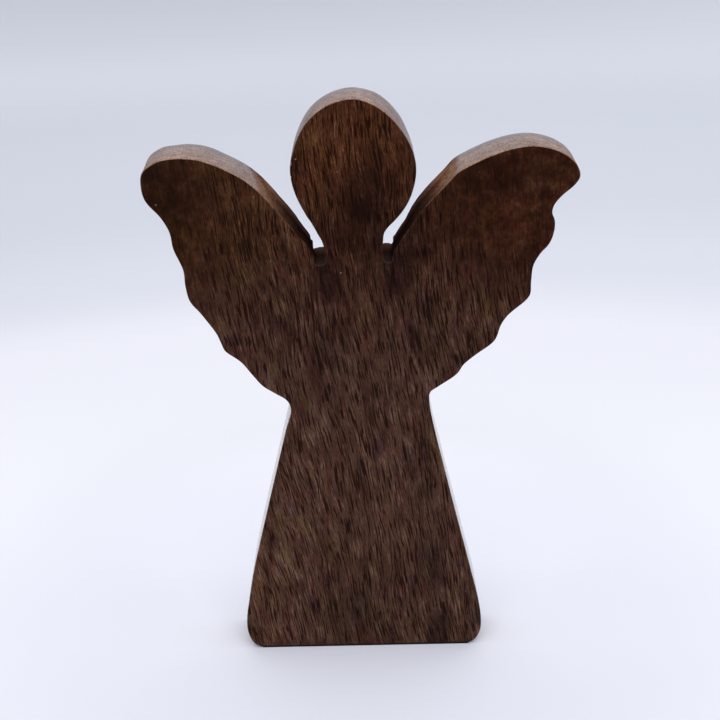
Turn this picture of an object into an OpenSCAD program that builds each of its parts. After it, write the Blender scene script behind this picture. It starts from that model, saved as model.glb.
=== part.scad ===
// Angel figurine, cut as one silhouette from a single solid board and standing on its flat base.
// X runs across the figure, Y through the board with the front at -Y, and Z up.
// The origin is the middle of the base that the figure stands on.

/* [Figure] */
// Height from the base to the top of the head
figure_h = 200; // [120:5:300]
// Thickness of the board
board_t = 25; // [16:0.5:40]
// Short chords that each stretch of the outline is drawn with
curve_steps = 4; // [2:1:8]

/* [Head] */
// Width of the head on the 200 mm figure
head_w = 42.2; // [38:0.2:45]

/* [Wings] */
// Reach of the left wing tip from the middle on the 200 mm figure
reach_left = 71.4; // [66:0.2:84]
// Reach of the right wing tip from the middle on the 200 mm figure
reach_right = 76.2; // [70:0.2:88]
// Height of the floor of the left saw slot beside the neck on the 200 mm figure
slot_floor = 143.8; // [141:0.1:146]

/* [Skirt] */
// Width of the skirt where it is widest on the 200 mm figure
skirt_w = 84.7; // [78:0.1:96]
// Width of the waist on the 200 mm figure
waist_w = 48.2; // [44:0.2:52]

/* [Hidden] */

// The stops below are laid out on a figure of this height, with these widths and reaches
design_h = 200;
design_head_w = 42.2;
design_reach_left = 71.4;
design_reach_right = 76.2;
design_skirt_w = 84.7;
design_waist_w = 48.2;
// The wings stretch only outside this distance from the middle
shoulder = 26;
// The skirt widens from the waist, at this height, down to its foot
waist_z = 92.4;
// The floor of the right saw slot lies a little higher than the left one's
right_slot_rise = 0.4;

// Stops along the outline, [across, up], walking up the left side from the base.
// The two sides differ a little, as they do on anything cut by hand.
skirt_left = [
    [-36.1, 0], [-39.4, 1.7], [-41.5, 6], [-41.8, 11.7], [-40.8, 18.6], [-38.4, 31.6],
    [-33.7, 51], [-29.7, 67], [-25.3, 84.4]
];
waist_left = [[-23.4, 91.6], [-24.7, 95]];
feathers_left = [
    [-28.7, 97.7], [-33, 100.6], [-36.6, 104.9], [-40.2, 109.4], [-45.6, 113.6], [-46.6, 115.9],
    [-48.2, 119.7], [-53.4, 127.2], [-56.8, 131.5], [-58.1, 136.8], [-58.6, 142.6], [-61.6, 150.1],
    [-62.6, 155.8], [-65.2, 160.8], [-70.2, 166.8]
];
wing_top_left = [
    [-71.4, 171.3], [-70.8, 176.5], [-65.9, 180.1], [-60.6, 181.1], [-55.4, 181], [-50, 179.9],
    [-38.5, 174.5], [-32.1, 169.4], [-25.7, 162], [-20.3, 155.4], [-15.5, 149.6]
];
slot_left = [[-14.1, 147], [-13.6, slot_floor], [-10.6, slot_floor], [-10.2, 147]];
head_left = [
    [-10.8, 150.8], [-14.3, 157.7], [-17.7, 163.7], [-20.3, 170.5], [-21.1, 177.5], [-19.3, 184.7],
    [-15.9, 191.4], [-12, 195.6], [-6.2, 198.8]
];

// Stops down the right side, from the top of the head back to the base
head_right = [
    [0.6, 200], [6.6, 198.2], [11.6, 194.7], [16.3, 189], [19.5, 183.1], [21, 177.1],
    [20.4, 170.7], [18.1, 164.3], [14.6, 159.4], [10.3, 154.7]
];
slot_right = [
    [9.6, 150.8], [10.2, slot_floor + right_slot_rise], [12.5, slot_floor + right_slot_rise], [12.9, 147]
];
wing_top_right = [
    [17.5, 154.2], [21.9, 160.3], [26.3, 165.5], [31.5, 170.7], [35.1, 174.5], [40.7, 177.6],
    [47, 180.3], [53.8, 182.3], [60.6, 183], [67.2, 181.8], [71.9, 179.5], [75, 176.4]
];
feathers_right = [
    [76.2, 172.6], [74.7, 169.9], [70.1, 165.9], [67.5, 162.7], [66.9, 160.1], [67.8, 157.3],
    [67.6, 153.6], [66.1, 149.5], [63, 145.9], [60.7, 141.8], [60, 136.2], [59.7, 131.8],
    [58.4, 129.8], [52.2, 124.5], [49.7, 120.9], [48.5, 117.3], [47.3, 115.1], [40.2, 109.8],
    [36.8, 106.9], [34.6, 103.7], [27.7, 98.9]
];
waist_right = [[25.2, 97], [24.9, 93]];
skirt_right = [
    [26.5, 83.8], [29.6, 70.1], [33.8, 52.3], [38.1, 34.4], [41.8, 18.6], [42.9, 11.1],
    [42.7, 5.6], [41, 2], [38, 0]
];

// How far each stretch is widened or lengthened from the layout above
size_k = figure_h / design_h;
head_k = head_w / design_head_w;
skirt_k = skirt_w / design_skirt_w;
waist_k = waist_w / design_waist_w;
reach_left_k = (reach_left - shoulder) / (design_reach_left - shoulder);
reach_right_k = (reach_right - shoulder) / (design_reach_right - shoulder);

function widened(stops, k) = [for (p = stops) [p.x * k, p.y]];
function reached(stops, from_x, k) = [
    for (p = stops) abs(p.x) < abs(from_x) ? p : [from_x + (p.x - from_x) * k, p.y]
];
function flared(stops, foot_k, top_k) = [
    for (p = stops) [p.x * (top_k + (foot_k - top_k) * (1 - p.y / waist_z)), p.y]
];

left_side = concat(
    flared(skirt_left, skirt_k, waist_k),
    widened(waist_left, waist_k),
    reached(feathers_left, -shoulder, reach_left_k),
    reached(wing_top_left, -shoulder, reach_left_k),
    slot_left,
    widened(head_left, head_k)
);
right_side = concat(
    widened(head_right, head_k),
    slot_right,
    reached(wing_top_right, shoulder, reach_right_k),
    reached(feathers_right, shoulder, reach_right_k),
    widened(waist_right, waist_k),
    flared(skirt_right, skirt_k, waist_k)
);
stops = concat(left_side, right_side);
last = len(stops) - 1;

// A curve from b to c that leaves them along the chords a-c and b-d.
// Its knots are spaced by the square root of each chord, which keeps tight corners free of loops.
function knot(t, p, q) = t + sqrt(norm(q - p));
function blend(t, ta, tb, a, b) = a * (tb - t) / (tb - ta) + b * (t - ta) / (tb - ta);
function curve_point(a, b, c, d, f) =
    let (tb = knot(0, a, b), tc = knot(tb, b, c), td = knot(tc, c, d), t = tb + (tc - tb) * f)
    let (ab = blend(t, 0, tb, a, b), bc = blend(t, tb, tc, b, c), cd = blend(t, tc, td, c, d))
    blend(t, tb, tc, blend(t, 0, tc, ab, bc), blend(t, tb, td, bc, cd));

// The curve needs one more stop past each end of the base
before_first = stops[0] * 2 - stops[1];
after_last = stops[last] * 2 - stops[last - 1];
function stop_at(i) = i < 0 ? before_first : i > last ? after_last : stops[i];

// The closed outline: curved all the way round, and closed by the straight base
outline = concat(
    [
        for (i = [0:last - 1], s = [0:curve_steps - 1])
            curve_point(stop_at(i - 1), stop_at(i), stop_at(i + 1), stop_at(i + 2), s / curve_steps)
    ],
    [stops[last]]
);

// The whole figure: wings, head, neck and skirt are one board
module figurine() {
    color("#4a3023")
        rotate([90, 0, 0])
            linear_extrude(height = board_t, center = true)
                polygon(outline * size_k);
}

figurine();
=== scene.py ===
"""Looks for the angel figurine: one board of dark-stained open-pored wood, sawn to a silhouette."""
import math

import bpy
import numpy as np
from mathutils import Matrix, Vector
from mathutils.geometry import delaunay_2d_cdt


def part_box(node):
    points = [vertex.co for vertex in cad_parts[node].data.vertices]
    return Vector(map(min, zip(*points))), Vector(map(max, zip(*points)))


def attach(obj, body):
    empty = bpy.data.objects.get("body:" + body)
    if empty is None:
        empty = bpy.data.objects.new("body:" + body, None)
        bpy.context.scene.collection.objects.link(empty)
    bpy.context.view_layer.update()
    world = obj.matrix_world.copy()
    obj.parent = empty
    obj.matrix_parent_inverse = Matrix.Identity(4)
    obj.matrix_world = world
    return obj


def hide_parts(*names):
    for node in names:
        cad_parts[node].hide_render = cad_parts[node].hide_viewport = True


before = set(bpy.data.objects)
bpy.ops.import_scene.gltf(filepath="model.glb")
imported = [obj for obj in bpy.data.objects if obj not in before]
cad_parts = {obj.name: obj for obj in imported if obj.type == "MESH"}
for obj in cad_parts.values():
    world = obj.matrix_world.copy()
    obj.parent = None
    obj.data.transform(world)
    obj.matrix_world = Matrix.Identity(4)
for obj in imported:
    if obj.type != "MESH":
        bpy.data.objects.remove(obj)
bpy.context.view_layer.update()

MM = 0.001
RANDOM = np.random.default_rng(17)


# ---------------------------------------------------------------------------------------------
# Outline: the CAD board's front edge, resampled into a smooth closed loop (millimetres)
# ---------------------------------------------------------------------------------------------

# Points of the CAD outline that lie further apart than this are joined by a straight line
LONGEST_CURVED_STEP = 8
# Points nearer than this to the front face belong to it
ON_FACE = 1e-3


def cad_outline(node):
    """The front face's border as an ordered loop of (across, up), counter-clockwise."""
    mesh = node.data
    co = np.empty(len(mesh.vertices) * 3)
    mesh.vertices.foreach_get("co", co)
    co = co.reshape(-1, 3) / MM
    front_y = co[:, 1].min()
    keys = [tuple(np.round(p[[0, 2]], 3)) for p in co]
    used = set()
    for face in mesh.polygons:
        if all(co[i, 1] < front_y + ON_FACE for i in face.vertices):
            corners = [keys[i] for i in face.vertices]
            used.update(zip(corners, corners[1:] + corners[:1]))
    border = {a: b for a, b in used if (b, a) not in used}
    start = min(border, key=lambda p: (p[1], p[0]))
    loop = [start]
    while border[loop[-1]] != start:
        loop.append(border[loop[-1]])
    loop = np.array(loop)
    x, z = loop[:, 0], loop[:, 1]
    area = np.sum(x * np.roll(z, -1) - z * np.roll(x, -1)) / 2
    return loop if area > 0 else loop[::-1]


def resample(loop, spacing):
    """Points along the closed loop at an even spacing, on a curve through its points.

    The second result is how far along the loop each point is.
    """
    n = len(loop)
    step = np.linalg.norm(np.roll(loop, -1, axis=0) - loop, axis=1)
    at = np.concatenate([[0], np.cumsum(step)])
    count = int(round(at[-1] / spacing))
    s = np.arange(count) * at[-1] / count
    k = np.clip(np.searchsorted(at, s, side="right") - 1, 0, n - 1)
    f = ((s - at[k]) / step[k])[:, None]
    p0, p1, p2, p3 = (loop[(k + d) % n] for d in (-1, 0, 1, 2))
    before, here, after = (step[(k + d) % n][:, None] for d in (-1, 0, 1))
    leave = (p2 - p0) / (before + here) * here
    arrive = (p3 - p1) / (here + after) * here
    curve = (p1 * (2 * f ** 3 - 3 * f ** 2 + 1) + leave * (f ** 3 - 2 * f ** 2 + f)
             + p2 * (3 * f ** 2 - 2 * f ** 3) + arrive * (f ** 3 - f ** 2))
    straight = here > LONGEST_CURVED_STEP
    return np.where(straight, p1 + (p2 - p1) * f, curve), s


def smooth_loop(values, passes):
    """A closed row of values, each averaged with its neighbours."""
    for _ in range(passes):
        values = (np.roll(values, 1, axis=0) + 2 * values + np.roll(values, -1, axis=0)) / 4
    return values


def outward(loop):
    """Unit normals that point out of a counter-clockwise loop."""
    along = np.roll(loop, -1, axis=0) - np.roll(loop, 1, axis=0)
    normal = np.stack([along[:, 1], -along[:, 0]], axis=1)
    return normal / np.linalg.norm(normal, axis=1, keepdims=True)


def smoothstep(low, high, x):
    """0 at low, 1 at high and smooth between them. Low may be the larger of the two."""
    t = np.clip((x - low) / (high - low), 0, 1)
    return t * t * (3 - 2 * t)


def waves(position, wavelengths, seed):
    """Smooth wandering between -1 and 1: a few sine waves in seeded directions and phases."""
    rng = np.random.default_rng(seed)
    total = np.zeros(len(position))
    for length in wavelengths:
        direction = rng.normal(size=position.shape[1])
        direction /= np.linalg.norm(direction)
        total += np.sin(position @ direction * 2 * math.pi / length + rng.uniform(0, 2 * math.pi))
    return total / len(wavelengths)


# ---------------------------------------------------------------------------------------------
# Board: rim rows with hand-softened edges, and two fine faces
# ---------------------------------------------------------------------------------------------

# Steps over each softened edge, rows between the two edges, and the spacing along the rim and in the faces
ARRIS_STEPS = 5
SIDE_ROWS = 30
RIM_SPACING = 0.6
FACE_SPACING = 1.25
# Radius of the softened front and back edges: at the foot, its gain above that, and how much the gain wanders
FRONT_ARRIS = (0.28, 0.04, 0.08)
BACK_ARRIS = (0.32, 0.10, -0.10)
# Heights between which the exact foot gives way to the hand-worked outline
FOOT = (0.3, 6)
# How far up the edge faces where the sanded tops begin, and where they are in full
FACES_UP = (0.45, 0.85)
# How far the sanded tops bulge in the middle of the board's thickness
CROWN = 0.75
# How far the coats of finish stand off the bare board
SWELL = 0.15
# Depth of the slow hollows in the edge, and of the fine ripple in it where it is sanded and where it is sawn
DRIFT_DEPTH = 0.07
SANDED_RIPPLE = 0.02
SAWN_RIPPLE = 0.16
# Depth of the slow hollows in the two faces, and how far from the border they are in full
FACE_HOLLOW = 0.14
FACE_HOLLOW_REACH = 6

# Where the sanding ends in the left and the right slot: distance from the middle, and its drift to the back
SANDING_ENDS = ((35.6, 0.22), (37.2, 0.10))
# From there the saw cut gets rawer over this distance
CUT_DEEPENS = 17
# Heights between which the cut comes in at the bottom of the slots
SLOT_BOTTOM = (140, 143)
# Under the head, nearer to the middle than this, the cut begins at a height and gets rawer over a distance
HEAD_HALF_W = 21.5
HEAD_CUT_TOP = 172
HEAD_CUT_DEEPENS = 16
# No cut is raw above the wings
WINGS_TOP = 183
# How far into the slots the finish ends, and over what stretch it gives out
CUT_START = 0.2
CUT_FADE = 0.14
# How far the walls of the two slots lean outward at the back. The lean comes in between two distances from
# the middle, and between two amounts of facing sideways.
SLOT_TAPER = 0.9
TAPER_REACH = (22.5, 16)
TAPER_FACING = (0.4, 0.7)
# How far the floors of the left and the right slot climb from the front to the back, and where the floors are
SLOT_CLIMB = (0.45, 0.95)
CLIMB_HEIGHTS = (149, 145.5)
FLOOR_REACH = 16

# Marks on the edge: (across, up, through, reach along the edge, reach through, depth).
# Splinters torn out by the saw come first, and then high spots left standing, which have a negative depth.
EDGE_MARKS = (
    (-14.6, 147.2, 12.5, 1.5, 7.0, 0.9),
    (-13.2, 144.4, 12.5, 1.3, 5.0, 0.7),
    (-21.1, 178.5, -12.5, 0.9, 2.5, 0.35),
    (-20.7, 174.0, -12.5, 0.6, 2.0, 0.25),
    (12.9, 146.0, -12.5, 0.8, 3.0, 0.35),
    (13.0, 194.2, 12.5, 13.0, 17.0, -0.60),
    (-70.0, 177.4, 12.5, 10.0, 18.0, -0.40),
    (-53.0, 180.6, 12.5, 10.0, 14.0, -0.28),
)


def marked_depth(loop, y):
    """How deep the marks on the edge go at each point of a row."""
    depth = np.zeros(len(loop))
    for across, up, through, along, reach, deep in EDGE_MARKS:
        far = np.linalg.norm(loop - [across, up], axis=1) / along
        depth += deep * smoothstep(1, 0.35, far) * smoothstep(reach, reach * 0.2, np.abs(y - through))
    return depth


def raw_saw_cut(loop, y):
    """How raw the edge is in the two slots beside the neck: 0 where it is sanded, 1 deep in the saw cut."""
    x, z = np.abs(loop[:, 0]), loop[:, 1]
    ragged = 0.5 * waves(np.stack([x + z, y], axis=1), (2.3, 3.7, 5.9), 9)
    left, right = (far + drift * y for far, drift in SANDING_ENDS)
    start = np.where(loop[:, 0] < 0, left, right)
    slot = np.clip((start - x + ragged) / CUT_DEEPENS, 0, 1) * smoothstep(*SLOT_BOTTOM, z)
    under_head = np.where(x < HEAD_HALF_W, np.clip((HEAD_CUT_TOP - z) / HEAD_CUT_DEEPENS, 0, 1), 1)
    return np.minimum(slot, under_head) * np.where(z > WINGS_TOP, 0, 1)


def wear_and_highlight(angle):
    """How far the finish has come off with wear, and how strong the painted highlight along the tops is, from
    the face (angle 0) round to the edge (a quarter turn).
    """
    return 0.45 + 0.55 * math.sin(2 * angle) - 0.25 * math.sin(angle)


def softened(arris, wander, standing):
    """The radius of a softened edge at each point of the loop."""
    at_foot, gain, sway = arris
    return at_foot + (gain + sway * wander) * standing


def rim_rows(loop, run, half_t):
    """Rows of points round the edge, from the front face's border to the back face's.

    With them come how raw each point is, how much each stands on a sanded top, and how much wear and painted
    highlight each row takes.
    """
    normal = smooth_loop(outward(loop), 2)
    normal /= np.linalg.norm(normal, axis=1, keepdims=True)
    raw = raw_saw_cut(loop, 0 * run)
    wander = waves(np.stack([run, 0 * run], axis=1), (23, 41, 67), 3)
    standing = smoothstep(*FOOT, loop[:, 1])
    crest = smoothstep(*FACES_UP, normal[:, 1]) * (1 - raw)
    front_r = softened(FRONT_ARRIS, wander, standing)
    back_r = softened(BACK_ARRIS, wander, standing)
    taper = SLOT_TAPER * raw * smoothstep(*TAPER_REACH, np.abs(loop[:, 0]))
    taper *= smoothstep(*TAPER_FACING, np.abs(normal[:, 0]))
    climb = np.where(loop[:, 0] < 0, *SLOT_CLIMB) * smoothstep(*CLIMB_HEIGHTS, loop[:, 1])
    climb *= (np.abs(loop[:, 0]) < FLOOR_REACH) & (loop[:, 1] > SLOT_BOTTOM[0])
    angles = np.linspace(0, math.pi / 2, ARRIS_STEPS + 1)
    rows = []
    for a in angles:
        rows.append((front_r * (1 - math.sin(a)), -half_t + front_r * (1 - math.cos(a)), wear_and_highlight(a)))
    for f in np.linspace(0, 1, SIDE_ROWS + 2)[1:-1]:
        rows.append((0 * run, (-half_t + front_r) * (1 - f) + (half_t - back_r) * f, 0))
    for a in angles[::-1]:
        rows.append((back_r * (1 - math.sin(a)), half_t - back_r * (1 - math.cos(a)), wear_and_highlight(a)))
    points, cuts = [], []
    for inset, y, _ in rows:
        place = np.stack([run, y], axis=1)
        wash = 0.5 + 0.5 * waves(place * [1, 0.12], (1.9, 2.7, 4.3, 5.9), 5)
        drift = 0.5 + 0.5 * waves(place * [1, 1.4], (19, 31, 53), 7)
        depth = standing * (DRIFT_DEPTH * drift + (SANDED_RIPPLE + SAWN_RIPPLE * raw) * wash - SWELL)
        depth += taper * (y + half_t) / (2 * half_t) + marked_depth(loop, y)
        depth -= CROWN * crest * (1 - (y / half_t) ** 2)
        moved = loop - normal * (inset + depth)[:, None]
        lifted = moved[:, 1] + climb * (y + half_t) / (2 * half_t)
        points.append(np.stack([moved[:, 0], y, lifted], axis=1))
        cuts.append(raw_saw_cut(loop, y))
    return points, cuts, crest, [row[2] for row in rows]


def face_fill(border, spacing, seed):
    """Triangles that fill a border loop of (across, up), with fine points inside it.

    Returns the points inside, how far each is from the border, and the triangles.
    """
    rng = np.random.default_rng(seed)
    low, high = border.min(0), border.max(0)
    rise = spacing * math.sqrt(3) / 2
    grid = []
    for j, z in enumerate(np.arange(low[1], high[1], rise)):
        for x in np.arange(low[0] + spacing / 2 * (j % 2), high[0], spacing):
            grid.append((x, z))
    grid = np.array(grid) + rng.uniform(-0.15, 0.15, (len(grid), 2)) * spacing
    inside = np.zeros(len(grid), bool)
    for a, b in zip(border, np.roll(border, -1, axis=0)):
        crosses = (a[1] > grid[:, 1]) != (b[1] > grid[:, 1])
        if crosses.any():
            at = a[0] + (grid[:, 1] - a[1]) * (b[0] - a[0]) / (b[1] - a[1] + 1e-12)
            inside ^= crosses & (grid[:, 0] < at)
    grid = grid[inside]
    gap = np.full(len(grid), 1e9)
    # A hundred border points at a time, to keep the table of distances small
    for start in range(0, len(border), 100):
        far = np.linalg.norm(grid[:, None] - border[None, start:start + 100], axis=2)
        gap = np.minimum(gap, far.min(1))
    keep = gap > spacing * 0.6
    grid, gap = grid[keep], gap[keep]
    n = len(border)
    points = [Vector(p) for p in np.concatenate([border, grid])]
    edges = [(i, (i + 1) % n) for i in range(n)]
    _, _, faces, original, _, _ = delaunay_2d_cdt(points, edges, [], 1, 1e-6)
    source = [o[0] for o in original]
    return grid, gap, [[source[i] for i in face] for face in faces]


def build_board(loop, run, half_t):
    """The figurine's mesh, in metres, with the masks that its material reads."""
    rows, cuts, crest, arris = rim_rows(loop, run, half_t)
    n, count = len(loop), len(rows)
    verts = list(np.concatenate(rows))
    masks = {"rim": [], "arris": [], "raw": [], "crest": [], "run": []}
    for j in range(count):
        # The first and last rows are the faces' borders, which the edge's looks must not reach
        inner = 1.0 if 0 < j < count - 1 else 0.0
        masks["rim"] += [inner] * n
        masks["arris"] += [arris[j] * inner] * n
        masks["raw"] += list(cuts[j] * inner)
        masks["crest"] += list(crest)
        masks["run"] += list(run)
    faces, is_cut = [], []
    for j in range(count - 1):
        for i in range(n):
            k = (i + 1) % n
            cut = (cuts[j][i] + cuts[j][k] + cuts[j + 1][i] + cuts[j + 1][k]) / 4
            patchy = CUT_START + CUT_FADE * RANDOM.uniform(-0.5, 0.5)
            is_cut.append(int(cut > patchy and 0 < j < count - 2))
            faces.append((j * n + i, (j + 1) * n + i, (j + 1) * n + k, j * n + k))
    for row, side, seed in ((0, -1, 11), (count - 1, 1, 13)):
        grid, gap, fill = face_fill(rows[row][:, [0, 2]], FACE_SPACING, seed)
        start = len(verts)
        hollow = smoothstep(0, FACE_HOLLOW_REACH, gap)
        hollow = hollow * (0.5 + 0.5 * waves(grid * [1, 0.45], (29, 43, 71), seed)) * FACE_HOLLOW
        verts += list(np.stack([grid[:, 0], side * (half_t - hollow), grid[:, 1]], axis=1))
        for values in masks.values():
            values += [0.0] * len(grid)
        index = [row * n + i for i in range(n)] + list(range(start, start + len(grid)))
        for face in fill:
            corners = [index[i] for i in face]
            faces.append(corners if side < 0 else corners[::-1])
    mesh = bpy.data.meshes.new("angel_board")
    mesh.from_pydata([tuple(v * MM) for v in verts], [], faces)
    for name, values in masks.items():
        layer = mesh.attributes.new(name, "FLOAT", "POINT")
        layer.data.foreach_set("value", np.array(values, np.float32))
    mesh.polygons.foreach_set("use_smooth", [True] * len(mesh.polygons))
    mesh.polygons.foreach_set("material_index", is_cut + [0] * (len(mesh.polygons) - len(is_cut)))
    mesh.validate()
    return mesh


# ---------------------------------------------------------------------------------------------
# Shader helpers
# ---------------------------------------------------------------------------------------------

def colour(r, g, b):
    """A display colour of 0 to 255 as the linear value that Blender takes."""
    def linear(c):
        c /= 255
        return c / 12.92 if c <= 0.04045 else ((c + 0.055) / 1.055) ** 2.4
    return (linear(r), linear(g), linear(b), 1.0)


class Graph:
    """Builds a node tree in short lines. A value is a number, a colour or a node's output."""

    def __init__(self, tree):
        self.tree = tree
        tree.nodes.clear()

    def node(self, kind, **settings):
        made = self.tree.nodes.new(kind)
        for key, value in settings.items():
            setattr(made, key, value)
        return made

    def put(self, value, socket):
        if isinstance(value, bpy.types.NodeSocket):
            self.tree.links.new(value, socket)
        elif value is not None:
            socket.default_value = value

    def math(self, operation, a, b=None, c=None, clamp=False):
        made = self.node("ShaderNodeMath", operation=operation, use_clamp=clamp)
        for value, socket in zip((a, b, c), made.inputs):
            self.put(value, socket)
        return made.outputs[0]

    def add(self, a, b):
        return self.math("ADD", a, b)

    def sub(self, a, b):
        return self.math("SUBTRACT", a, b)

    def mul(self, a, b):
        return self.math("MULTIPLY", a, b)

    def mul_add(self, value, factor, extra, clamp=False):
        return self.math("MULTIPLY_ADD", value, factor, extra, clamp)

    def swing(self, noise):
        """A noise, which lies between 0 and 1, moved to lie between -1 and 1."""
        return self.mul_add(noise, 2.0, -1.0)

    def ramp(self, value, low, high, out_low=0.0, out_high=1.0):
        """Smooth step of value from low to high."""
        made = self.node("ShaderNodeMapRange", interpolation_type="SMOOTHSTEP")
        for item, socket in zip((value, low, high, out_low, out_high), made.inputs):
            self.put(item, socket)
        return made.outputs[0]

    def line(self, value, low, high, out_low, out_high):
        """Straight-line map of value, clamped at both ends."""
        made = self.node("ShaderNodeMapRange")
        for item, socket in zip((value, low, high, out_low, out_high), made.inputs):
            self.put(item, socket)
        return made.outputs[0]

    def vector(self, x, y, z):
        made = self.node("ShaderNodeCombineXYZ")
        for value, socket in zip((x, y, z), made.inputs):
            self.put(value, socket)
        return made.outputs[0]

    def split(self, vector):
        made = self.node("ShaderNodeSeparateXYZ")
        self.put(vector, made.inputs[0])
        return made.outputs

    def length(self, vector):
        made = self.node("ShaderNodeVectorMath", operation="LENGTH")
        self.put(vector, made.inputs[0])
        return made.outputs["Value"]

    def noise(self, vector, detail=2.0, roughness=0.5):
        made = self.node("ShaderNodeTexNoise")
        self.put(vector, made.inputs["Vector"])
        made.inputs["Scale"].default_value = 1.0
        made.inputs["Detail"].default_value = detail
        made.inputs["Roughness"].default_value = roughness
        made.inputs["Distortion"].default_value = 0.0
        return made.outputs[0]

    def cells(self, vector):
        """Nearest-cell distance, and a random number for the cell."""
        made = self.node("ShaderNodeTexVoronoi")
        self.put(vector, made.inputs["Vector"])
        made.inputs["Scale"].default_value = 1.0
        parts = self.node("ShaderNodeSeparateColor")
        self.put(made.outputs["Color"], parts.inputs[0])
        return made.outputs["Distance"], parts.outputs[0]

    def mix(self, factor, a, b, blend="MIX"):
        made = self.node("ShaderNodeMix", data_type="RGBA", blend_type=blend)
        self.put(factor, made.inputs[0])
        self.put(a, made.inputs[6])
        self.put(b, made.inputs[7])
        return made.outputs[2]

    def toned(self, factor, base, r, g, b):
        """The base colour, multiplied by a tone where factor is 1. The tone may be brighter than white."""
        return self.mix(factor, base, self.mix(1.0, base, (r, g, b, 1.0), "MULTIPLY"))

    def colours(self, value, stops, interpolation="LINEAR"):
        made = self.node("ShaderNodeValToRGB")
        ramp = made.color_ramp
        ramp.interpolation = interpolation
        while len(ramp.elements) < len(stops):
            ramp.elements.new(0.5)
        for element, (place, tint) in zip(ramp.elements, stops):
            element.position, element.color = place, tint
        self.put(value, made.inputs[0])
        return made.outputs[0]

    def stains(self, value, stops):
        """Colours looked up by value, from stops of (place, display colour)."""
        return self.colours(value, [(place, colour(*shade)) for place, shade in stops])

    def attribute(self, name):
        return self.node("ShaderNodeAttribute", attribute_name=name).outputs["Fac"]


# ---------------------------------------------------------------------------------------------
# Wood
# ---------------------------------------------------------------------------------------------

# How far the grain leans to the left for each millimetre up, less above the neck and more below a height
GRAIN_LEAN = 0.140
NECK_Z = 150.0
HEAD_LEANS_LESS = 0.06
SKIRT_Z = 75.0
SKIRT_LEANS_MORE = 0.045

# Patterns drawn out along the grain: width and length in millimetres, shift, detail, roughness
LINES = (0.46, 8.5, 0.0, 1.0, 0.35)
SPECKLE = (0.27, 1.6, 13.0, 1.0, 0.6)
FIBRE = (0.90, 7.5, 71.0, 1.0, 0.5)
RIBBON = (3.2, 11.0, 5.0, 1.5, 0.5)
MOTTLE = (7.0, 11.0, 23.0, 2.0, 0.5)
CLOUD = (16.0, 34.0, 41.0, 2.0, 0.5)
HUE = (5.0, 9.0, 83.0, 2.0, 0.6)
BRUISE = (3.6, 7.5, 97.0, 1.5, 0.55)
# Width, length and shift of the cells that hold the pores
PORES = (1.05, 8.0, 31.0)

# Stain by value: dusty on the skirt, warm on the head and the wing tips
DUSTY = (
    (0.00, (30, 14, 9)),
    (0.25, (46, 27, 20)),
    (0.50, (63, 41, 32)),
    (0.75, (80, 57, 46)),
    (1.00, (104, 80, 67)),
)
WARM = (
    (0.00, (22, 7, 3)),
    (0.25, (36, 15, 7)),
    (0.50, (52, 27, 15)),
    (0.75, (72, 43, 27)),
    (1.00, (104, 72, 54)),
)
# Colours of the sanded edge by value, paler than the stain alone as a painted reflection of the bright
# surroundings, and of the saw cut by its depth into the slots
SANDED_AND_REFLECTED = (
    (0.00, (58, 34, 24)),
    (0.30, (90, 60, 45)),
    (0.60, (121, 87, 69)),
    (1.00, (168, 131, 108)),
)
SAWN = (
    (0.05, (148, 115, 92)),
    (0.32, (108, 75, 56)),
    (0.52, (80, 53, 41)),
    (0.76, (60, 40, 32)),
    (1.00, (45, 30, 25)),
)
# Pale colour of the painted highlight along the tops and of wear on the softened edges
PALE_HIGHLIGHT_AND_WEAR = colour(184, 156, 140)
# Painted light on the slot floors, which lie in shade
SLOT_FLOOR_LIGHT = colour(112, 100, 94)
# Painted contact shadow along the foot
PAINTED_CONTACT_SHADOW = colour(17, 14, 19)
DUST = colour(150, 124, 106)

# Figure in the board, in millimetres: (across, up, half width, half height, strength)
DARK_FIGURE = (
    (5.0, 163.5, 12.5, 9.5, 1.0),
    (4.5, 171.0, 9.0, 10.0, 0.90),
    (5.0, 168.0, 16.0, 14.0, 0.74),
    (8.0, 180.0, 12.0, 9.0, 0.32),
    (0.0, 153.0, 19.0, 11.0, 0.68),
    (-10.0, 138.0, 8.0, 15.0, 0.88),
    (14.0, 141.0, 10.0, 16.0, 0.92),
    (20.0, 153.0, 10.0, 17.0, 0.80),
    (52.0, 172.0, 38.0, 14.0, 0.66),
    (36.0, 158.0, 24.0, 18.0, 0.52),
    (66.0, 160.0, 15.0, 15.0, 0.52),
    (50.0, 143.0, 28.0, 20.0, 0.48),
    (-13.0, 118.0, 5.0, 17.0, 0.62),
    (4.0, 124.0, 66.0, 40.0, 0.36),
    (20.0, 119.0, 4.5, 9.5, 0.74),
    (15.0, 128.0, 9.0, 10.0, 0.42),
    (-6.0, 110.0, 4.0, 8.0, 0.42),
    (-10.0, 99.0, 5.0, 7.0, 0.44),
    (0.0, 99.0, 34.0, 20.0, 0.30),
    (-66.0, 170.0, 19.0, 16.0, 0.62),
    (-46.0, 140.0, 22.0, 22.0, 0.16),
    (-3.0, 14.0, 13.0, 14.0, 0.42),
    (28.5, 7.0, 5.5, 13.0, 0.86),
    (26.5, 30.0, 5.0, 24.0, 0.56),
    (-5.0, 50.0, 5.0, 14.0, 0.26),
    (22.5, 66.0, 5.0, 20.0, 0.40),
)
LIGHT_FIGURE = (
    (-11.0, 184.0, 8.0, 11.0, 0.46),
    (2.0, 182.0, 22.0, 18.0, 0.40),
    (-36.0, 16.0, 9.0, 24.0, 0.44),
    (-26.0, 40.0, 9.0, 26.0, 0.20),
    (-14.0, 60.0, 6.0, 16.0, 0.32),
    (4.0, 116.0, 5.0, 18.0, 0.42),
    (36.0, 12.0, 5.0, 12.0, 0.26),
)
# What the full strength of the dark and the light figure multiplies the colour by
DARK_TONE = (0.26, 0.24, 0.34)
LIGHT_TONE = (1.64, 1.62, 1.42)
# The streaks change from those of the body to those of the head between these heights
HEAD_FROM, HEAD_FULL = 150.0, 176.0

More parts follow.
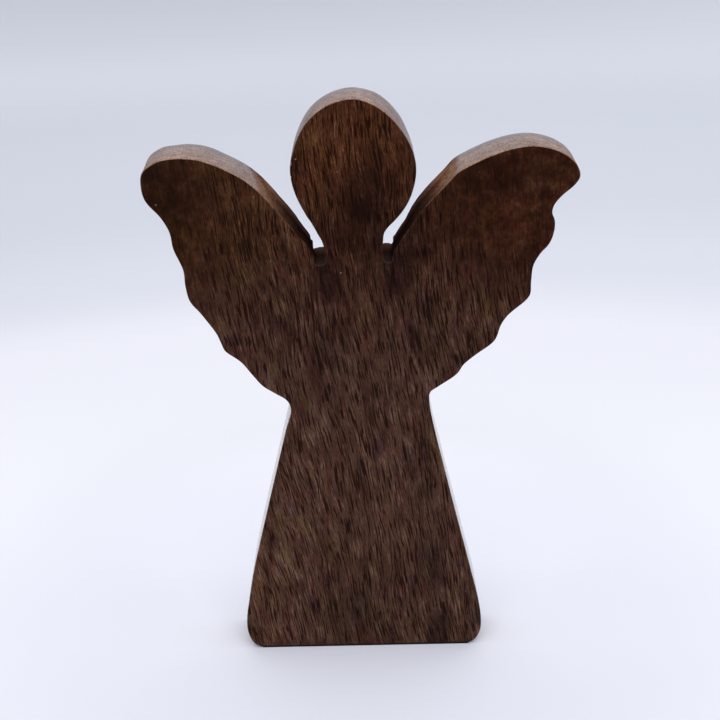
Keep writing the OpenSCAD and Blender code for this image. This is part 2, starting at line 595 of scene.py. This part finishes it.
# Relief of the surface, in millimetres: open vessels and pores, raised fibre, scratches and saw chatter
VESSEL_DEPTH = 0.050
PORE_DEPTH = 0.030
FIBRE_RISE = 0.015
SCRATCH_RISE = 0.036
CHATTER_RISE = 0.24
# Strength of the reflections where the board is finished and where it is bare, and the finish itself
GLOSS_FINISHED = 0.5
GLOSS_BARE = 0.0
FINISH_IOR = 1.45
FINISH_TINT = (0.16, 0.08, 0.05, 1.0)


class Wood(Graph):
    """The board's wood, laid out in millimetres: x across, y through the board, z up."""

    def __init__(self, tree):
        super().__init__(tree)
        scaled = self.node("ShaderNodeVectorMath", operation="SCALE")
        self.put(self.node("ShaderNodeTexCoord").outputs["Object"], scaled.inputs[0])
        scaled.inputs["Scale"].default_value = 1 / MM
        self.x, self.y, self.z = self.split(scaled.outputs[0])
        masks = ("rim", "arris", "raw", "crest", "run")
        self.rim, self.arris, self.raw, self.crest, self.run = (self.attribute(name) for name in masks)
        # The far half of the edge saw less sanding: it kept more stain and more shine
        self.far_half = self.ramp(self.y, -6.0, 12.0)
        self.lay_grain()
        self.draw_patterns()

    def spread(self, across, through, up):
        """Coordinates for a pattern that runs straight, scaled by a number for each direction."""
        return self.vector(self.mul(self.x, across), self.mul(self.y, through), self.mul(self.z, up))

    def lay_grain(self):
        """Lines of constant u and w are the grain, which leans to the left and wanders.

        It leans by about 8 degrees: less on the right wing and the head, and more on the skirt.
        """
        x, y, z = self.x, self.y, self.z
        lean = self.mul_add(x, -0.0006, GRAIN_LEAN)
        above = self.math("MAXIMUM", self.sub(z, NECK_Z), 0.0)
        below = self.math("MAXIMUM", self.sub(SKIRT_Z, z), 0.0)
        wander = self.noise(self.spread(1 / 30, 1 / 30, 1 / 55), 1.5)
        ripple = self.noise(self.spread(1 / 7, 1 / 9, 1 / 16), 1.0)
        u = self.add(x, self.mul(lean, z))
        u = self.sub(u, self.mul(above, HEAD_LEANS_LESS))
        u = self.sub(u, self.mul(below, SKIRT_LEANS_MORE))
        u = self.add(u, self.mul_add(wander, 6.0, -3.0))
        self.u = self.add(u, self.mul_add(ripple, 1.6, -0.8))
        self.w = self.add(y, self.mul(z, 0.045))

    def along(self, width, length, shift):
        """Coordinates for a pattern of that width and length, drawn out along the grain."""
        return self.vector(
            self.mul_add(self.u, 1 / width, shift),
            self.mul_add(self.w, 1 / width, shift),
            self.mul(self.z, 1 / length),
        )

    def pattern(self, width, length, shift, detail, roughness):
        """A noise between 0 and 1 that is drawn out along the grain."""
        return self.noise(self.along(width, length, shift), detail, roughness)

    def draw_patterns(self):
        """Thin dark vessels with pale slivers between them, pores, speckle and fibre, and broader colour."""
        line = self.pattern(*LINES)
        self.vessel = self.ramp(line, 0.45, 0.36)
        self.sliver = self.ramp(line, 0.60, 0.76)
        far, pick = self.cells(self.along(*PORES))
        self.pore = self.ramp(self.math("DIVIDE", far, self.line(pick, 0.1, 1.0, 0.06, 0.38)), 1.0, 0.5)
        self.speckle = self.swing(self.pattern(*SPECKLE))
        self.fibre = self.swing(self.pattern(*FIBRE))
        self.ribbon = self.swing(self.pattern(*RIBBON))
        self.mottle = self.swing(self.pattern(*MOTTLE))
        self.cloud = self.pattern(*CLOUD)
        # Fine scratches that cross the board's thickness, the saw's chatter, and patches along the edge
        run, y = self.run, self.y
        self.scratch = self.noise(self.vector(self.mul(run, 2.6), self.mul(y, 0.10), 3.0), 3.0, 0.6)
        self.chatter = self.noise(self.vector(self.mul(run, 0.55), self.mul(y, 0.03), 9.0), 2.0, 0.5)
        patches = self.noise(self.vector(self.mul(run, 0.16), self.mul(y, 0.22), 15.0), 2.0, 0.5)
        self.patch = self.swing(patches)

    def face_value(self, quiet):
        """How light the face's stain is, from 0 to 1. Quiet places have small blotches instead of streaks."""
        # The pale streaks fade out on the head, where the vessels are softer and the mottling is stronger
        streaky = self.ramp(self.z, 148.0, 174.0, 1.0, 0.45)
        grain = self.add(self.mul(self.speckle, 0.42), self.mul(self.fibre, 0.20))
        grain = self.add(grain, self.mul(self.mul(self.ribbon, 0.36), streaky))
        grain = self.add(grain, self.mul(self.mul(self.sliver, 0.36), streaky))
        grain = self.sub(grain, self.mul(self.vessel, self.ramp(self.z, HEAD_FROM, HEAD_FULL, 0.74, 0.56)))
        grain = self.sub(grain, self.mul(self.pore, 0.24))
        blotch = self.swing(self.noise(self.spread(0.75, 0.75, 0.50), 3.0, 0.65))
        haze = self.swing(self.noise(self.spread(0.20, 0.20, 0.24), 2.5, 0.55))
        grain = self.mul(grain, self.mul_add(quiet, -0.78, 1.0))
        grain = self.add(grain, self.mul(self.mul(blotch, quiet), 0.46))
        grain = self.add(grain, self.mul(self.mul(haze, quiet), 0.42))
        mottled = self.mul(self.mottle, self.ramp(self.z, HEAD_FROM, HEAD_FULL, 0.17, 0.26))
        value = self.add(self.add(grain, mottled), self.mul_add(self.cloud, 0.14, 0.515))
        # The left wing's tip is darker
        return self.sub(value, self.mul(self.ramp(self.x, -50.0, -66.0), 0.16))

    def figure(self, spot, ellipses, start):
        """The strongest of several soft ellipses, or start where that is stronger."""
        total = start
        for across, up, half_w, half_h, strength in ellipses:
            offset = self.node("ShaderNodeVectorMath", operation="MULTIPLY_ADD")
            self.put(spot, offset.inputs[0])
            offset.inputs[1].default_value = (1 / half_w, 0, 1 / half_h)
            offset.inputs[2].default_value = (-across / half_w, 0, -up / half_h)
            far = self.length(offset.outputs[0])
            total = self.math("MAXIMUM", total, self.ramp(far, 1.3, 0.2, 0.0, strength))
        return total

    def face_colour(self):
        """The stained face: streaks in two stains, shifts of hue, and broad dark and light figure."""
        x, z = self.x, self.z
        quiet_left = self.mul(self.ramp(x, -36.0, -60.0), self.ramp(z, 90.0, 125.0))
        quiet_right = self.mul(self.ramp(x, 20.0, 46.0), self.ramp(z, 118.0, 160.0))
        value = self.face_value(self.math("MAXIMUM", quiet_left, quiet_right))
        # The warm stain is a little more olive on the left wing and redder on the right one
        olive = self.mul(self.ramp(x, -12.0, -32.0), self.ramp(z, 108.0, 136.0))
        warm = self.toned(olive, self.stains(value, WARM), 0.93, 1.06, 0.99)
        warm = self.toned(quiet_right, warm, 0.95, 0.86, 0.80)
        upper = self.ramp(z, 100.0, 172.0)
        outer = self.ramp(self.math("ABSOLUTE", x), 20.0, 60.0, 0.0, 0.35)
        warmth = self.mul_add(self.mottle, 0.22, self.add(upper, self.mul(outer, upper)), clamp=True)
        face = self.mix(warmth, self.stains(value, DUSTY), warm)
        hue = self.swing(self.pattern(*HUE))
        face = self.mix(self.ramp(hue, 0.02, 0.40), face, (1.09, 0.93, 0.94, 1.0), "MULTIPLY")
        face = self.mix(self.ramp(hue, -0.02, -0.40), face, (0.95, 1.04, 0.82, 1.0), "MULTIPLY")
        bruise = self.ramp(self.pattern(*BRUISE), 0.54, 0.70)
        face = self.mix(bruise, face, (0.66, 0.66, 0.86, 1.0), "MULTIPLY")
        # The borders of the dark and light figure wander
        warp_x = self.noise(self.spread(1 / 9, 1 / 60, 1 / 13), 2.0)
        warp_z = self.noise(self.spread(1 / 8, 1 / 60, 1 / 17), 2.0)
        spot = self.vector(
            self.add(x, self.mul_add(warp_x, 6.0, -3.0)), 0.0,
            self.add(z, self.mul_add(warp_z, 10.0, -5.0)),
        )
        dark = self.figure(spot, DARK_FIGURE, self.ramp(self.cloud, 0.54, 0.80, 0.0, 0.20))
        light = self.figure(spot, LIGHT_FIGURE, 0.0)
        return self.toned(light, self.toned(dark, face, *DARK_TONE), *LIGHT_TONE)

    def sanded_and_reflected_colour(self):
        """The same stain, thinned by sanding and painted paler still as a reflection of the bright
        surroundings, with end grain on the tops and long lines down the sides.
        """
        centre = self.vector(self.mul_add(self.u, 1.0, -18.0), self.add(self.w, 70.0), 0.0)
        ring = self.math("SINE", self.mul_add(self.length(centre), 1.7, self.mul(self.ribbon, 1.6)))
        thin = self.add(self.mul(self.ribbon, 0.34), self.mul(self.fibre, 0.26))
        thin = self.add(thin, self.mul(self.speckle, 0.26))
        thin = self.add(thin, self.mul(ring, 0.07))
        thin = self.add(thin, self.mul(self.patch, 0.22))
        thin = self.sub(thin, self.mul(self.vessel, 0.34))
        thin = self.sub(thin, self.mul(self.ramp(self.scratch, 0.42, 0.75), 0.14))
        thin = self.add(thin, self.mul(self.ramp(self.chatter, 0.50, 0.75), 0.12))
        return self.toned(self.far_half, self.stains(self.add(thin, 0.60), SANDED_AND_REFLECTED), 0.66, 0.72, 0.82)

    def edge_colour(self):
        """The edge: sanded nearly all round, and sawn in the slots beside the neck."""
        raw, y = self.raw, self.y
        # The saw cut is brown where it meets the sanded edge and at the front, dark and dry further in
        depth_in = self.add(raw, self.mul_add(y, 0.011, self.mul(self.patch, 0.22)))
        flecks = self.add(self.speckle, self.mul(self.fibre, 1.2))
        depth_in = self.add(depth_in, self.mul(flecks, self.ramp(raw, 0.3, 0.8, 0.36, 0.24)))
        sawn = self.stains(depth_in, SAWN)
        edge = self.mix(self.ramp(raw, CUT_START * 0.4, CUT_START * 1.1), self.sanded_and_reflected_colour(), sawn)
        # Painted light makes the saw cut paler at the back, where light from behind reaches it, and painted
        # shade a little darker at the front
        painted_back_light = self.mul(self.ramp(y, -1.0, 10.0), self.ramp(raw, 0.26, 0.58))
        edge = self.toned(painted_back_light, edge, 3.4, 3.5, 3.9)
        painted_front_shade = self.mul(self.ramp(y, -5.0, -11.0), self.ramp(raw, 0.05, 0.35))
        return self.toned(painted_front_shade, edge, 0.72, 0.68, 0.66)

    def board_colour(self):
        """Faces and edge together, with a painted highlight and wear on the softened edges, painted light on
        the slot floors, a painted contact shadow at the foot, and dust.
        """
        y, z = self.y, self.z
        # The softened edges keep the face's stain, except along the tops, where they take the edge's colour
        # with its painted reflection
        stained = self.mul(self.arris, self.mul_add(self.crest, -1.3, 1.3))
        on_edge = self.mul(self.rim, self.math("SUBTRACT", 1.0, stained, clamp=True))
        tint = self.mix(on_edge, self.face_colour(), self.edge_colour())
        # A painted highlight along the softened edges of the tops, and pale wear in patches, share one colour
        highlit_tops = self.mul(self.crest, self.ramp(self.scratch, 0.38, 0.66, 0.10, 1.0))
        in_patches = self.ramp(self.patch, 0.05, 0.55, 0.0, 0.50)
        highlight_and_wear = self.mul(self.arris, self.math("MAXIMUM", highlit_tops, in_patches))
        tint = self.mix(highlight_and_wear, tint, PALE_HIGHLIGHT_AND_WEAR)
        # Painted light on the floors of the slots, which lie in shade: a paler grey-brown, most of it at the
        # front
        floor = self.mul(self.ramp(z, 140.0, 142.0), self.ramp(self.raw, 0.3, 0.7))
        floor = self.mul(self.mul(self.rim, self.ramp(z, 146.6, 145.4)), floor)
        tint = self.mix(self.mul(floor, self.ramp(y, 4.0, -11.0, 0.02, 0.12)), tint, SLOT_FLOOR_LIGHT)
        # Painted contact shadow: the foot is painted dark where it meets whatever it stands on
        tint = self.mix(self.ramp(z, 1.10, 0.45, 0.0, 0.94), tint, PAINTED_CONTACT_SHADOW)
        far, pick = self.cells(self.spread(0.21, 0.21, 0.21))
        dust = self.mul(self.ramp(far, 0.075, 0.035), self.ramp(pick, 0.82, 0.90, 0.0, 0.6))
        return self.mix(dust, tint, DUST)

    def relief(self):
        """Bump: open vessels and raised fibre on the faces, scratches on the edge, chatter in the saw cut."""
        depth = self.add(self.mul(self.vessel, -VESSEL_DEPTH), self.mul(self.pore, -PORE_DEPTH))
        depth = self.add(depth, self.mul(self.fibre, FIBRE_RISE))
        depth = self.mul(depth, self.mul_add(self.rim, -0.6, 1.0))
        scored = self.mul_add(self.scratch, SCRATCH_RISE, -SCRATCH_RISE / 2)
        chatter = self.mul_add(self.chatter, CHATTER_RISE, -CHATTER_RISE / 2)
        scored = self.add(scored, self.mul(chatter, self.raw))
        bump = self.node("ShaderNodeBump")
        bump.inputs["Strength"].default_value = 1.0
        bump.inputs["Distance"].default_value = MM
        self.put(self.add(depth, self.mul(self.rim, scored)), bump.inputs["Height"])
        return bump.outputs[0]

    def dullness(self):
        """Roughness: waxed faces, a smoother edge, the skirt's sides smoothed by wear, and a dry saw cut."""
        rough = self.mul_add(self.fibre, 0.07, 0.44)
        rough = self.add(rough, self.mul(self.vessel, 0.18))
        rough = self.sub(rough, self.mul(self.rim, 0.12))
        rough = self.sub(rough, self.mul(self.rim, self.ramp(self.z, 96.0, 86.0, 0.0, 0.27)))
        rough = self.sub(rough, self.mul(self.mul(self.rim, self.far_half), 0.10))
        rough = self.add(rough, self.mul(self.ramp(self.raw, 0.0, CUT_START), 0.70))
        return self.math("SUBTRACT", rough, self.mul(self.arris, 0.05), clamp=True)


def stained_wood(name, gloss):
    """A material of the board's wood, with reflections of that strength."""
    material = bpy.data.materials.new(name)
    material.use_nodes = True
    wood = Wood(material.node_tree)
    shader = wood.node("ShaderNodeBsdfPrincipled")
    wood.put(wood.board_colour(), shader.inputs["Base Color"])
    wood.put(wood.dullness(), shader.inputs["Roughness"])
    wood.put(wood.relief(), shader.inputs["Normal"])
    shader.inputs["IOR"].default_value = FINISH_IOR
    shader.inputs["Specular IOR Level"].default_value = gloss
    shader.inputs["Specular Tint"].default_value = FINISH_TINT
    wood.put(shader.outputs[0], wood.node("ShaderNodeOutputMaterial").inputs[0])
    return material


# ---------------------------------------------------------------------------------------------
# Stage, light and camera
# ---------------------------------------------------------------------------------------------

# Radius of the flat floor, radius of the curve up into the wall, and height of the wall, in metres
FLOOR_FLAT = 1.6
FLOOR_RISE = 1.0
WALL_TOP = 2.2
# Steps round the floor and up its curve
FLOOR_AROUND = 96
FLOOR_CURVE_STEPS = 12
# Painted light and shade on the paper by distance from the figurine, in metres: it darkens behind it, then
# pales into the wall
PAINTED_PAPER_TONE = (
    (0.00, (0.850, 0.860, 0.945, 1.0)),
    (0.11, (0.775, 0.782, 0.850, 1.0)),
    (0.22, (0.832, 0.832, 0.885, 1.0)),
    (0.40, (0.800, 0.798, 0.852, 1.0)),
    (0.54, (0.694, 0.708, 0.768, 1.0)),
    (0.75, (0.652, 0.669, 0.729, 1.0)),
    (1.10, (0.662, 0.680, 0.744, 1.0)),
    (1.70, (0.806, 0.822, 0.880, 1.0)),
)
# A painted pool of light behind the figurine, an oval: distance of its middle, half width, half depth and
# gain
OVAL_Y = 0.122
OVAL_HALF_WIDTH = 0.135
OVAL_HALF_DEPTH = 0.115
OVAL_GAIN = 1.145

# Soft rectangular lights: name, place, what they point at, size and power
LIGHTS = (
    ("top_soft", (0.0, 0.25, 1.5), (0, 0, 0.1), (1.6, 1.2), 8.3),
    ("front_soft", (0.0, -1.3, 1.2), (0, 0, 0.1), (1.6, 0.9), 13.5),
    ("back_soft", (0.0, 1.5, 0.95), (0, 0, 0.15), (2.2, 0.9), 4.5),
)
WORLD_COLOUR = (0.96, 0.98, 1.0, 1.0)
WORLD_STRENGTH = 0.60

# A short telephoto, a little above the head, that looks down and leans by about a degree
CAMERA_PLACE = (0.001, -0.591, 0.2912)
CAMERA_DOWN = 17.45
CAMERA_ROLL = 1.15
CAMERA_LENS = 87.5
CAMERA_SENSOR = 36.0


def floor_mesh():
    """A disc of floor that curves up into a wall all the way round."""
    profile = [(FLOOR_FLAT * f, 0.0) for f in (0.1, 0.3, 0.6, 1.0)]
    for a in np.linspace(0, math.pi / 2, FLOOR_CURVE_STEPS + 1)[1:]:
        profile.append((FLOOR_FLAT + FLOOR_RISE * math.sin(a), FLOOR_RISE * (1 - math.cos(a))))
    profile.append((FLOOR_FLAT + FLOOR_RISE, WALL_TOP))
    verts = [(0.0, 0.0, 0.0)]
    for r, z in profile:
        for i in range(FLOOR_AROUND):
            a = 2 * math.pi * i / FLOOR_AROUND
            verts.append((r * math.cos(a), r * math.sin(a), z))
    faces = [(0, 1 + i, 1 + (i + 1) % FLOOR_AROUND) for i in range(FLOOR_AROUND)]
    for j in range(len(profile) - 1):
        low, high = 1 + j * FLOOR_AROUND, 1 + (j + 1) * FLOOR_AROUND
        for i in range(FLOOR_AROUND):
            k = (i + 1) % FLOOR_AROUND
            faces.append((low + i, high + i, high + k, low + k))
    mesh = bpy.data.meshes.new("studio_floor")
    mesh.from_pydata(verts, [], faces)
    mesh.polygons.foreach_set("use_smooth", [True] * len(mesh.polygons))
    return mesh


def floor_paper():
    """Matt paper, with painted light and shade by distance from the figurine."""
    material = bpy.data.materials.new("floor_paper")
    material.use_nodes = True
    g = Graph(material.node_tree)
    x, y, _ = g.split(g.node("ShaderNodeTexCoord").outputs["Object"])
    far = g.math("SQRT", g.add(g.mul(x, x), g.mul(y, y)))
    # Beyond the figurine the paper is a little paler to the right
    aside = g.mul(x, g.ramp(far, 0.35, 0.60))
    far = g.sub(far, g.mul(aside, 0.12))
    reach = PAINTED_PAPER_TONE[-1][0]
    tone = g.colours(g.mul(far, 1 / reach), [(r / reach, tint) for r, tint in PAINTED_PAPER_TONE], "EASE")
    tone = g.mix(1.0, tone, g.mul_add(aside, 0.06, 1.0), "MULTIPLY")
    # The oval makes up for the front light that the figurine blocks
    oval_y = g.mul(g.sub(y, OVAL_Y), 1 / OVAL_HALF_DEPTH)
    oval = g.length(g.vector(g.mul(x, 1 / OVAL_HALF_WIDTH), oval_y, 0.0))
    tone = g.mix(1.0, tone, g.ramp(oval, 1.0, 0.25, 1.0, OVAL_GAIN), "MULTIPLY")
    shader = g.node("ShaderNodeBsdfPrincipled")
    g.put(tone, shader.inputs["Base Color"])
    shader.inputs["Roughness"].default_value = 0.9
    shader.inputs["Specular IOR Level"].default_value = 0.1
    g.put(shader.outputs[0], g.node("ShaderNodeOutputMaterial").inputs[0])
    return material


def make_stage():
    """A pale floor and wall, seamless from every side."""
    mesh = floor_mesh()
    mesh.materials.append(floor_paper())
    floor = bpy.data.objects.new("studio_floor", mesh)
    bpy.context.scene.collection.objects.link(floor)


def make_lights():
    world = bpy.data.worlds.new("studio")
    bpy.context.scene.world = world
    world.use_nodes = True
    g = Graph(world.node_tree)
    back = g.node("ShaderNodeBackground")
    back.inputs["Color"].default_value = WORLD_COLOUR
    back.inputs["Strength"].default_value = WORLD_STRENGTH
    g.put(back.outputs[0], g.node("ShaderNodeOutputWorld").inputs[0])
    for name, place, target, size, power in LIGHTS:
        data = bpy.data.lights.new(name, "AREA")
        data.shape = "RECTANGLE"
        data.size, data.size_y = size
        data.energy = power
        lamp = bpy.data.objects.new(name, data)
        lamp.location = place
        lamp.rotation_mode = "QUATERNION"
        lamp.rotation_quaternion = (Vector(target) - Vector(place)).to_track_quat("-Z", "Y")
        lamp.visible_camera = False
        bpy.context.scene.collection.objects.link(lamp)


def make_camera():
    down, roll = math.radians(CAMERA_DOWN), math.radians(CAMERA_ROLL)
    forward = Vector((0, math.cos(down), -math.sin(down)))
    right = Vector((1, 0, 0))
    up = right.cross(forward)
    tilted_right = right * math.cos(roll) - up * math.sin(roll)
    tilted_up = right * math.sin(roll) + up * math.cos(roll)
    data = bpy.data.cameras.new("camera")
    data.lens, data.sensor_width = CAMERA_LENS, CAMERA_SENSOR
    data.clip_start, data.clip_end = 0.01, 20.0
    camera = bpy.data.objects.new("camera", data)
    basis = Matrix((tilted_right, tilted_up, -forward)).transposed()
    camera.matrix_world = Matrix.Translation(CAMERA_PLACE) @ basis.to_4x4()
    bpy.context.scene.collection.objects.link(camera)
    bpy.context.scene.camera = camera


# ---------------------------------------------------------------------------------------------
# Assembly
# ---------------------------------------------------------------------------------------------

bpy.context.scene.view_settings.view_transform = "Standard"
make_camera()
make_stage()
make_lights()

low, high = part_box("figurine")
edge_loop, edge_run = resample(cad_outline(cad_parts["figurine"]), RIM_SPACING)
board = bpy.data.objects.new("angel_board", build_board(edge_loop, edge_run, (high.y - low.y) / 2 / MM))
board.data.materials.append(stained_wood("stained_wood", GLOSS_FINISHED))
board.data.materials.append(stained_wood("bare_saw_cut", GLOSS_BARE))
bpy.context.scene.collection.objects.link(board)
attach(board, "root")
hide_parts("figurine")
